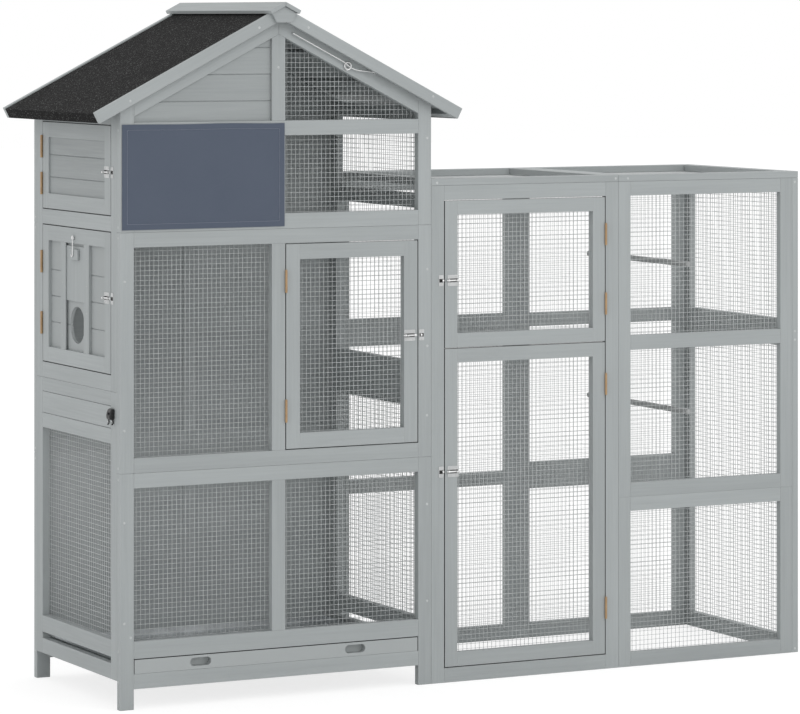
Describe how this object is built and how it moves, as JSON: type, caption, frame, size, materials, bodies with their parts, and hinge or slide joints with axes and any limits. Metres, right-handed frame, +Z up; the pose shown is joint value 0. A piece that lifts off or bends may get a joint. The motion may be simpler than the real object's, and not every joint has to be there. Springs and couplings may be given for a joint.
{
  "type": "bird cage",
  "caption": "Outdoor wooden bird cage: a gabled house on legs with a lifting roof half, doors and tray, joined to a lower flight cage of framed welded mesh with perches.",
  "frame": {"origin": "on the ground, under the middle of the whole cage's box", "axes": "+X to the right along the front, from the house to the flight cage; +Y to the back; +Z up"},
  "size_m": [2.155, 0.683, 1.8308],
  "materials": {
    "painted_timber": "planed softwood, pale grey paint",
    "roof_felt": "dark mineral roofing felt",
    "wire_mesh": "galvanised welded mesh",
    "cover_fabric": "slate-blue woven cover with a stitched hem",
    "tray_metal": "galvanised sheet",
    "black_plastic": "black moulded plastic",
    "zinc_steel": "bright zinc-plated steel",
    "bare_dowel": "sanded softwood dowel"
  },
  "bodies": {
    "cage": {"front_frame_lower": "painted_timber", "front_frame_middle": "painted_timber", "front_frame_gable": "painted_timber", "back_frame_lower": "painted_timber", "back_frame_middle": "painted_timber", "back_frame_gable": "painted_timber", "left_frame_lower": "painted_timber", "left_frame_upper": "painted_timber", "right_frame_lower": "painted_timber", "right_frame_upper": "painted_timber", "mesh_front_lower": "wire_mesh", "mesh_front_middle": "wire_mesh", "mesh_gable_window": "wire_mesh", "mesh_gable_triangle": "wire_mesh", "mesh_left_lower": "wire_mesh", "mesh_right_lower": "wire_mesh", "mesh_right_upper": "wire_mesh", "gable_boards": "painted_timber", "cover_sheet": "cover_fabric", "roof_left_deck": "painted_timber", "roof_left_felt": "roof_felt", "ridge_cap_left": "painted_timber", "roof_stay_eye": "zinc_steel", "ext_front_bay1": "painted_timber", "ext_front_bay2": "painted_timber", "ext_back_frame": "painted_timber", "ext_right_frame": "painted_timber", "ext_roof_left": "painted_timber", "ext_roof_right": "painted_timber", "ext_mesh_front": "wire_mesh", "ext_mesh_back": "wire_mesh", "ext_mesh_right": "wire_mesh", "ext_mesh_roof": "wire_mesh", "perch_upper": "bare_dowel", "perch_lower": "bare_dowel"},
    "roof_right": {"roof_right_deck": "painted_timber", "roof_right_felt": "roof_felt", "ridge_cap_right": "painted_timber"},
    "roof_stay": {"roof_stay_rod": "zinc_steel"},
    "front_door": {"front_door_frame": "painted_timber", "front_door_mesh": "wire_mesh"},
    "front_bolt": {"front_door_bolt": "zinc_steel"},
    "left_upper": {"left_upper_door": "painted_timber"},
    "left_upper_bolt": {"left_upper_door_bolt": "zinc_steel"},
    "left_middle": {"left_middle_door": "painted_timber"},
    "left_middle_bolt": {"left_middle_door_bolt": "zinc_steel"},
    "pop_shutter": {"shutter": "painted_timber"},
    "pop_hook": {"shutter_hook": "zinc_steel"},
    "ext_upper_door": {"ext_upper_door_frame": "painted_timber", "ext_upper_door_mesh": "wire_mesh"},
    "ext_upper_bolt": {"ext_upper_door_bolt": "zinc_steel"},
    "ext_lower_door": {"ext_lower_door_frame": "painted_timber", "ext_lower_door_mesh": "wire_mesh"},
    "ext_lower_bolt": {"ext_lower_door_bolt": "zinc_steel"},
    "tray": {"tray_front": "painted_timber", "tray_pan": "tray_metal"},
    "slot_board": {"slot_board": "painted_timber"},
    "turn_latch": {"turn_latch": "black_plastic"}
  },
  "joints": [
    {"name": "roof_lift", "type": "hinge", "parent": "cage", "child": "roof_right", "pos_m": [-0.5435, 0, 1.83099], "axis": [0, -1, 0], "range_deg": [0, 43.9]},
    {"name": "stay_swing", "type": "hinge", "parent": "roof_right", "child": "roof_stay", "pos_m": [-0.2595, -0.305, 1.64298], "axis": [0, -1, 0], "range_deg": [0, 39.2]},
    {"name": "front_door_swing", "type": "hinge", "parent": "cage", "child": "front_door", "pos_m": [-0.5231, -0.3, 0.6518], "axis": [0, 0, -1], "range_deg": [0, 165]},
    {"name": "front_bolt_slide", "type": "slide", "parent": "front_door", "child": "front_bolt", "axis": [1, 0, 0], "range_m": [0, 0.0166]},
    {"name": "left_upper_swing", "type": "hinge", "parent": "cage", "child": "left_upper", "pos_m": [-1, 0.2351, 1.2758], "axis": [0, 0, -1], "range_deg": [0, 165]},
    {"name": "left_upper_bolt_slide", "type": "slide", "parent": "left_upper", "child": "left_upper_bolt", "axis": [0, -1, 0], "range_m": [0, 0.0166]},
    {"name": "left_middle_swing", "type": "hinge", "parent": "cage", "child": "left_middle", "pos_m": [-1, 0.2351, 0.8635], "axis": [0, 0, -1], "range_deg": [0, 165]},
    {"name": "left_middle_bolt_slide", "type": "slide", "parent": "left_middle", "child": "left_middle_bolt", "axis": [0, -1, 0], "range_m": [0, 0.0166]},
    {"name": "shutter_drop", "type": "slide", "parent": "left_middle", "child": "pop_shutter", "axis": [0, 0, -1], "range_m": [0, 0.1321]},
    {"name": "shutter_hook_swing", "type": "hinge", "parent": "left_middle", "child": "pop_hook", "pos_m": [-1.0013, 0.0125, 1.206], "axis": [1, 0, 0], "range_deg": [-100, 100]},
    {"name": "ext_upper_swing", "type": "hinge", "parent": "cage", "child": "ext_upper_door", "pos_m": [0.4496, -0.3, 0.8999], "axis": [0, 0, 1], "range_deg": [0, 165]},
    {"name": "ext_upper_bolt_slide", "type": "slide", "parent": "ext_upper_door", "child": "ext_upper_bolt", "axis": [-1, 0, 0], "range_m": [0, 0.0166]},
    {"name": "ext_lower_swing", "type": "hinge", "parent": "cage", "child": "ext_lower_door", "pos_m": [0.4496, -0.3, 0.0413], "axis": [0, 0, 1], "range_deg": [0, 165]},
    {"name": "ext_lower_bolt_slide", "type": "slide", "parent": "ext_lower_door", "child": "ext_lower_bolt", "axis": [-1, 0, 0], "range_m": [0, 0.0166]},
    {"name": "tray_slide", "type": "slide", "parent": "cage", "child": "tray", "axis": [0, -1, 0], "range_m": [0, 0.5]},
    {"name": "slot_board_slide", "type": "slide", "parent": "cage", "child": "slot_board", "axis": [-1, 0, 0], "range_m": [0, 0.12]},
    {"name": "turn_latch_turn", "type": "hinge", "parent": "cage", "child": "turn_latch", "pos_m": [-0.9965, -0.2495, 0.7645], "axis": [1, 0, 0], "range_deg": [0, 90]}
  ]
}
